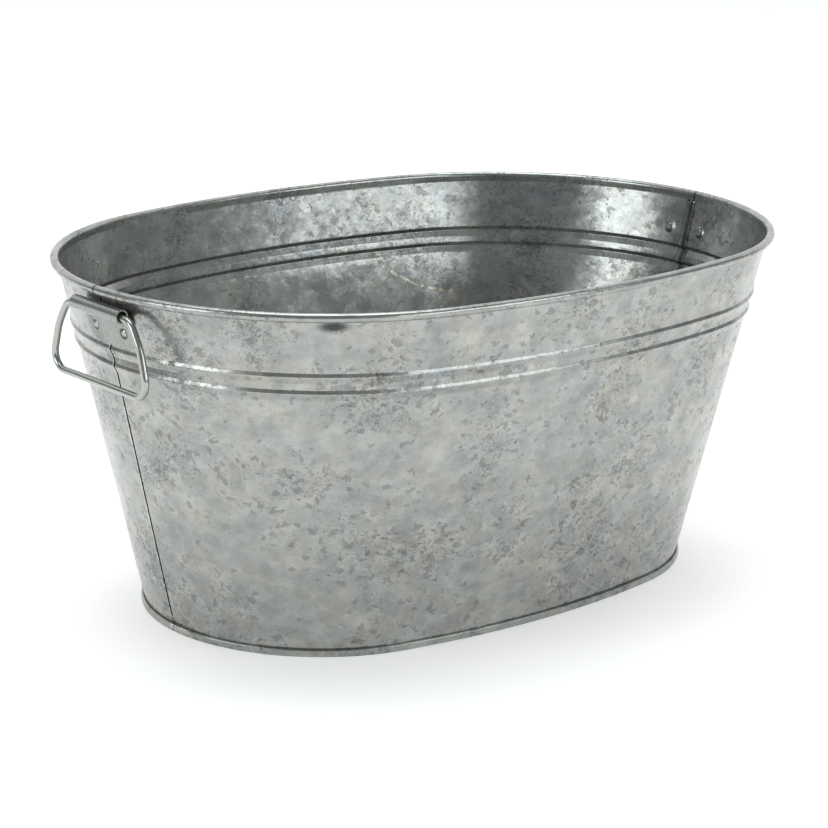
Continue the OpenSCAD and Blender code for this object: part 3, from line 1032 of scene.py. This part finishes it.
def rivet_section():
    head = PLATE_GAP + PLATE - DISH_DEPTH + SEAT_GAP
    tail = -DISH_DEPTH - SHEET - SEAT_GAP
    dome_r = (HEAD_R**2 + HEAD_H**2) / (2 * HEAD_H)
    reach = math.asin(min(1, HEAD_R / dome_r))
    angles = np.linspace(0, reach, 12)
    dome = [(dome_r * math.sin(a), head + HEAD_H - dome_r * (1 - math.cos(a))) for a in angles[:-1]]
    edge = [(HEAD_R - 0.04, head + HEAD_ROUND), (HEAD_R - HEAD_ROUND, head), (SHANK_R, head)]
    low = tail - TAIL_H
    closed = [(SHANK_R, tail), (TAIL_R - TAIL_ROUND, tail), (TAIL_R, tail - TAIL_ROUND),
              (TAIL_R, low + TAIL_LOWER_ROUND), (TAIL_R - TAIL_LOWER_ROUND, low),
              (TAIL_R * 0.6, low + TAIL_DISH / 4), (0, low + TAIL_DISH)]
    return np.array(dome + edge + closed)


for side, word in ENDS:
    for foot, out in rivet_places(side):
        node = f"{word}_rivet_{'back' if foot[1] > 0 else 'front'}"
        rivet = spun(node + "_turned", rivet_section(), foot, out)
        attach(rivet, "tub")
        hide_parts(node)
        print(rivet.name, "stands at", foot.round(1))

# %% [markdown]
# ## Handles
#
# Each handle is a loop of 5 mm wire with three kinds of bend: the upper corners that come out of
# the knuckle, the shoulders and the lower corners at the grip. A curve with a round bevel could
# make it too. Here a tube is swept along the path point by point, so that its rings stand square
# to it and crowd only in the bends.

# %% Handles
WIRE_SIDES = 24
WIRE_STEP = 5
TOP_RUN = 29.2
UPPER_LEG = 8.75
LOWER_LEG = 12.25
TOP_BEND = 12.5
SHOULDER_BEND = 37.5
GRIP_BEND = 11.0
DIRECTIONS = np.array([[1, 0], [336 / 625, -527 / 625], [7 / 25, -24 / 25], [-1, 0]])


def half_loop():
    """Centre line of half a handle in (y, z) below the pivot, from the top's middle to the grip's."""
    place = np.zeros(2)
    line = [place]
    runs, bends = (TOP_RUN, UPPER_LEG, LOWER_LEG), (TOP_BEND, SHOULDER_BEND, GRIP_BEND)
    for i, (run, bend) in enumerate(zip(runs, bends)):
        way, then = DIRECTIONS[i], DIRECTIONS[i + 1]
        place = place + way * run
        centre = place + bend * np.array([way[1], -way[0]])
        turn = math.atan2(way[0] * then[1] - way[1] * then[0], way @ then)
        steps = math.ceil(math.degrees(abs(turn)) / WIRE_STEP)
        for angle in np.linspace(0, turn, steps + 1):
            line.append(centre + swung(bend * np.array([-way[1], way[0]]), angle))
        place = line[-1]
    line.append(np.array([0, place[1]]))
    return np.array(line)


def wire_loop(name, side):
    half = half_loop()
    other = half[::-1][1:-1] * [-1, 1]
    line = np.concatenate([half, other])
    way = np.roll(line, -1, 0) - np.roll(line, 1, 0)
    way = way / np.linalg.norm(way, axis=1)[:, None]
    beside = np.stack([-way[:, 1], way[:, 0]], 1)
    turns = np.linspace(0, 2 * math.pi, WIRE_SIDES, endpoint=False)
    ring_x = WIRE_HALF * np.cos(turns)[None, :] * np.ones((len(line), 1))
    ring_yz = line[:, None, :] + WIRE_HALF * np.sin(turns)[None, :, None] * beside[:, None, :]
    points = np.concatenate([(side * (KNUCKLE_X + ring_x))[..., None], side * ring_yz[..., :1],
                             PIVOT_Z + ring_yz[..., 1:]], -1)
    closed = np.pad(points, ((0, 1), (0, 1), (0, 0)), mode="wrap")
    obj = new_object(name, *sew([closed]))
    merge(obj, outward=True)
    return finish_mesh(obj, 60)


for side, word in ENDS:
    loop = wire_loop(word + "_handle_wire", side)
    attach(loop, word + "_handle")
    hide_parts(word + "_handle")
    print(loop.name, "is", round(loop.dimensions.y / MM, 1), "mm wide")

# %% [markdown]
# ## Zinc
#
# Hot-dip galvanised sheet is covered in zinc crystals, the spangle. Each one froze at its own
# slight tilt, so each mirrors another spot of the room: that is why the edge of a reflection on
# such a tub is ragged. Cells on warped coordinates give the crystals. A cell's random colour,
# less a half, is a small random arrow. Added to the surface's normal, it tilts the whole crystal
# one way, without the steps that a bump from the same cells would make at every border.
#
# The rest is colour: soft clouds, ragged darker flakes that lie in drifts, and fine specks. All
# of it is laid in the object's own coordinates, so it stays put on the metal. A photo of real zinc
# would be quicker, but it would repeat, and it would bring its own light with it.

# %% Helpers for patterns


def noise(tree, place, size, detail, roughness=0.5):
    """Noise with features of about this size in mm."""
    node = tree.nodes.new("ShaderNodeTexNoise")
    node.inputs["Scale"].default_value = 1 / (size * MM)
    node.inputs["Detail"].default_value = detail
    node.inputs["Roughness"].default_value = roughness
    tree.links.new(place, node.inputs["Vector"])
    return node


def cells(tree, place, size):
    """Cells of about this size in mm."""
    node = tree.nodes.new("ShaderNodeTexVoronoi")
    node.inputs["Scale"].default_value = 1 / (size * MM)
    tree.links.new(place, node.inputs["Vector"])
    return node


def parts_of(tree, vector):
    """X, Y and Z of a vector, or red, green and blue of a colour."""
    split = tree.nodes.new("ShaderNodeSeparateXYZ")
    tree.links.new(vector, split.inputs[0])
    return split.outputs


def swing(tree, value, amount, onto):
    """Adds amount times how far value is from its middle, 0.5."""
    return maths(tree, "ADD", maths(tree, "MULTIPLY_ADD", value, amount, -amount / 2), onto)


# %% [markdown]
# The far side of the tub has one mark of its own: an arc of pale dashes, where something hard has
# been turned round inside it. A mesh is too coarse to carry so thin a line, so the material draws
# it: it marks the places that lie one radius from a point, and noise breaks the line into dashes.

# %% The scuffed arc
ARC_CENTRE = (163, 143, 262)
ARC_R = 103.7
ARC_TOP = 185
ARC_RIGHT = 155
LINE_FADE = (1.4, 0.5)
DASH = 2.6
DASH_EDGE = (0.48, 0.56)


def scuff(tree, coordinates):
    """1 on the dashes of the arc and 0 elsewhere. Only the face that looks into the tub has it."""
    place = coordinates.outputs["Object"]
    arm = vectors(tree, "SUBTRACT", place, [v * MM for v in ARC_CENTRE])
    away = maths(tree, "SUBTRACT", vectors(tree, "LENGTH", arm), ARC_R * MM)
    line = mask(tree, maths(tree, "ABSOLUTE", away), *(v * MM for v in LINE_FADE))
    dashes = mask(tree, noise(tree, place, DASH, 1.0).outputs["Fac"], *DASH_EDGE)
    x, _, z = parts_of(tree, place)
    _, facing_y, _ = parts_of(tree, coordinates.outputs["Normal"])
    for value, limit in ((x, ARC_RIGHT * MM), (z, ARC_TOP * MM), (facing_y, 0.0)):
        line = maths(tree, "MULTIPLY", line, maths(tree, "LESS_THAN", value, limit))
    return maths(tree, "MULTIPLY", line, dashes)


print("the arc is", 2 * ARC_R, "mm across")

# %% [markdown]
# The patterns come first, by name. The crystals are cells of two sizes, the large facets and the
# small barbs. Clouds, hue and drifts are noise, each wider than the last. Flakes are barbs picked
# out where cloud and drift run high, and specks are the peaks of a very fine noise.

# %% Patterns in the zinc
STRETCH = (1, 1, 1.2)
FACET = 1.3
BARB = 0.45
WANDER = 0.0012
SPECK = 1.9
CLOUD = 15
HUE = 26
DRIFT = 60
FLAKE_EDGE = (0.84, 0.95)
SPECK_EDGE = (0.60, 0.67)


def patterns(tree, place, crystal):
    """The patterns by name, for crystals of this size in mm."""
    flat = vectors(tree, "MULTIPLY", place, STRETCH)
    wander = noise(tree, flat, crystal * BARB, 4.0, 0.65).outputs["Color"]
    warped = vectors(tree, "MULTIPLY_ADD", wander, [crystal * WANDER] * 3, flat)
    facet = cells(tree, warped, crystal * FACET).outputs["Color"]
    barb = cells(tree, warped, crystal * BARB).outputs["Color"]
    cloud = noise(tree, flat, CLOUD, 3.0, 0.55).outputs["Fac"]
    hue = noise(tree, flat, HUE, 4.0, 0.6).outputs["Fac"]
    drift = noise(tree, place, DRIFT, 2.0).outputs["Fac"]
    speck = noise(tree, warped, SPECK, 2.0, 0.6).outputs["Fac"]
    patch, scale = parts_of(tree, facet)[0], parts_of(tree, barb)[0]
    flakes = mask(tree, swing(tree, drift, 0.7, swing(tree, cloud, 1.0, scale)), *FLAKE_EDGE)
    specks = mask(tree, swing(tree, drift, 0.6, speck), *SPECK_EDGE)
    return {"facet": facet, "barb": barb, "cloud": cloud, "hue": hue, "patch": patch,
            "scale": scale, "flakes": flakes, "specks": specks}


# %% [markdown]
# The tone starts at 1. Some patterns swing it both ways, and spots multiply it. So does the number
# on the mesh, which carries the solder's brightness and painted shade and highlight. Hue works
# twice: where it runs high, the metal is both darker and cooler.

# %% Tone and tint of the zinc
SWINGS = {"cloud": 0.7, "hue": -0.4, "patch": 0.16, "scale": -0.10}
SPOTS = {"flakes": -0.27, "specks": -0.44}
SOLDER_AND_PAINTED_LIGHT = -0.92
WARM = (1.09, 1.0, 0.87)
COOLER = (-0.18, 0.0, 0.26)
SCUFF_COLOUR = (0.38, 0.31, 0.18)


def times(tree, tone, value, amount):
    """Multiplies tone by 1 plus amount times value."""
    return maths(tree, "MULTIPLY", tone, maths(tree, "MULTIPLY_ADD", value, amount, 1.0))


def zinc_tone(tree, grain, marks):
    """How light the metal is. marks is the strength of the patterns, but the mesh's number for solder and
    painted light has its own.
    """
    tone = 1.0
    for name, amount in SWINGS.items():
        tone = swing(tree, grain[name], amount * marks, tone)
    for name, amount in SPOTS.items():
        tone = times(tree, tone, grain[name], amount * marks)
    # The mesh's number darkens the metal for painted shade and lightens it for solder and painted highlight.
    soil = tree.nodes.new("ShaderNodeAttribute")
    soil.attribute_name = "soil"
    return times(tree, tone, soil.outputs["Fac"], SOLDER_AND_PAINTED_LIGHT)


def zinc_colour(tree, grain, colour, tone):
    warm, cooler = (tuple(np.array(colour) * shift) for shift in (WARM, COOLER))
    tinted = vectors(tree, "MULTIPLY_ADD", grain["hue"], cooler, warm)
    return vectors(tree, "MULTIPLY", tinted, tone)


# %% [markdown]
# Flakes and light clouds are more matt than the rest. The crystals' tilt goes into the normal,
# with a low relief of the clouds on top.

# %% Gloss and crystals
PLAIN_MATT = 0.35
FLAKE_MATT = 0.5
CLOUD_MATT = 0.6
SCALE_MATT = 0.4
RELIEF = 0.004


def zinc_gloss(tree, grain, smoothest, roughest):
    plain = maths(tree, "MULTIPLY_ADD", grain["flakes"], FLAKE_MATT, PLAIN_MATT)
    matt = swing(tree, grain["scale"], SCALE_MATT, swing(tree, grain["cloud"], CLOUD_MATT, plain))
    rough = maths(tree, "MULTIPLY_ADD", matt, roughest - smoothest, smoothest)
    return maths(tree, "MAXIMUM", rough, smoothest)


def crystal_normal(tree, grain, tilt):
    normal = tree.nodes.new("ShaderNodeNewGeometry").outputs["Normal"]
    for kind in ("facet", "barb"):
        lean = vectors(tree, "MULTIPLY_ADD", grain[kind], [tilt] * 3, [-tilt / 2] * 3)
        normal = vectors(tree, "ADD", lean, normal)
    relief = tree.nodes.new("ShaderNodeBump")
    relief.inputs["Strength"].default_value = 1.0
    relief.inputs["Distance"].default_value = 1.0
    put(tree, maths(tree, "MULTIPLY", grain["cloud"], tilt * RELIEF), relief.inputs["Height"])
    put(tree, vectors(tree, "NORMALIZE", normal), relief.inputs["Normal"])
    return relief.outputs["Normal"]


# %% [markdown]
# One function makes every zinc, because the pieces differ only in colour, gloss and crystals. Wire
# and rivets hardly show a spangle. The rim wire is plain steel, and it is hidden in the rim.

# %% Zinc materials
METALLIC = 0.88


def galvanised(name, colour, gloss, tilt, crystal=9.0, marks=1.0, scuffed=False):
    """Zinc with crystals of this size in mm. gloss holds the least and the greatest roughness."""
    material = bpy.data.materials.new(name)
    material.use_nodes = True
    tree = material.node_tree
    coordinates = tree.nodes.new("ShaderNodeTexCoord")
    grain = patterns(tree, coordinates.outputs["Object"], crystal)
    zinc = zinc_colour(tree, grain, colour, zinc_tone(tree, grain, marks))
    if scuffed:
        zinc = vectors(tree, "MULTIPLY_ADD", scuff(tree, coordinates), SCUFF_COLOUR, zinc)
    shader = tree.nodes["Principled BSDF"]
    shader.inputs["Metallic"].default_value = METALLIC
    put(tree, zinc, shader.inputs["Base Color"])
    put(tree, zinc_gloss(tree, grain, *gloss), shader.inputs["Roughness"])
    put(tree, crystal_normal(tree, grain, tilt), shader.inputs["Normal"])
    return material


FINISHES = {
    "half_shell": galvanised("zinc_wall", (0.362, 0.366, 0.350), (0.20, 0.34), 0.04, scuffed=True),
    "double_seam": galvanised("zinc_base", (0.36, 0.367, 0.345), (0.24, 0.38), 0.04),
    "plate": galvanised("zinc_plate", (0.32, 0.328, 0.312), (0.24, 0.34), 0.02, crystal=5.0, marks=0.35),
    "handle_wire": galvanised("zinc_wire", (0.42, 0.43, 0.41), (0.13, 0.20), 0.01, crystal=6.0, marks=0.15),
    "rivet": galvanised("zinc_rivet", (0.42, 0.425, 0.41), (0.12, 0.20), 0.02, crystal=3.0, marks=0.1),
    "rim_wire": galvanised("bare_wire", (0.42, 0.42, 0.39), (0.26, 0.36), 0.02, crystal=3.0, marks=0.4)}
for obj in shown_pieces():
    finish = next(m for word, m in FINISHES.items() if word in obj.name)
    obj.data.materials.clear()
    obj.data.materials.append(finish)
    print(f"{obj.name}: {finish.name}")
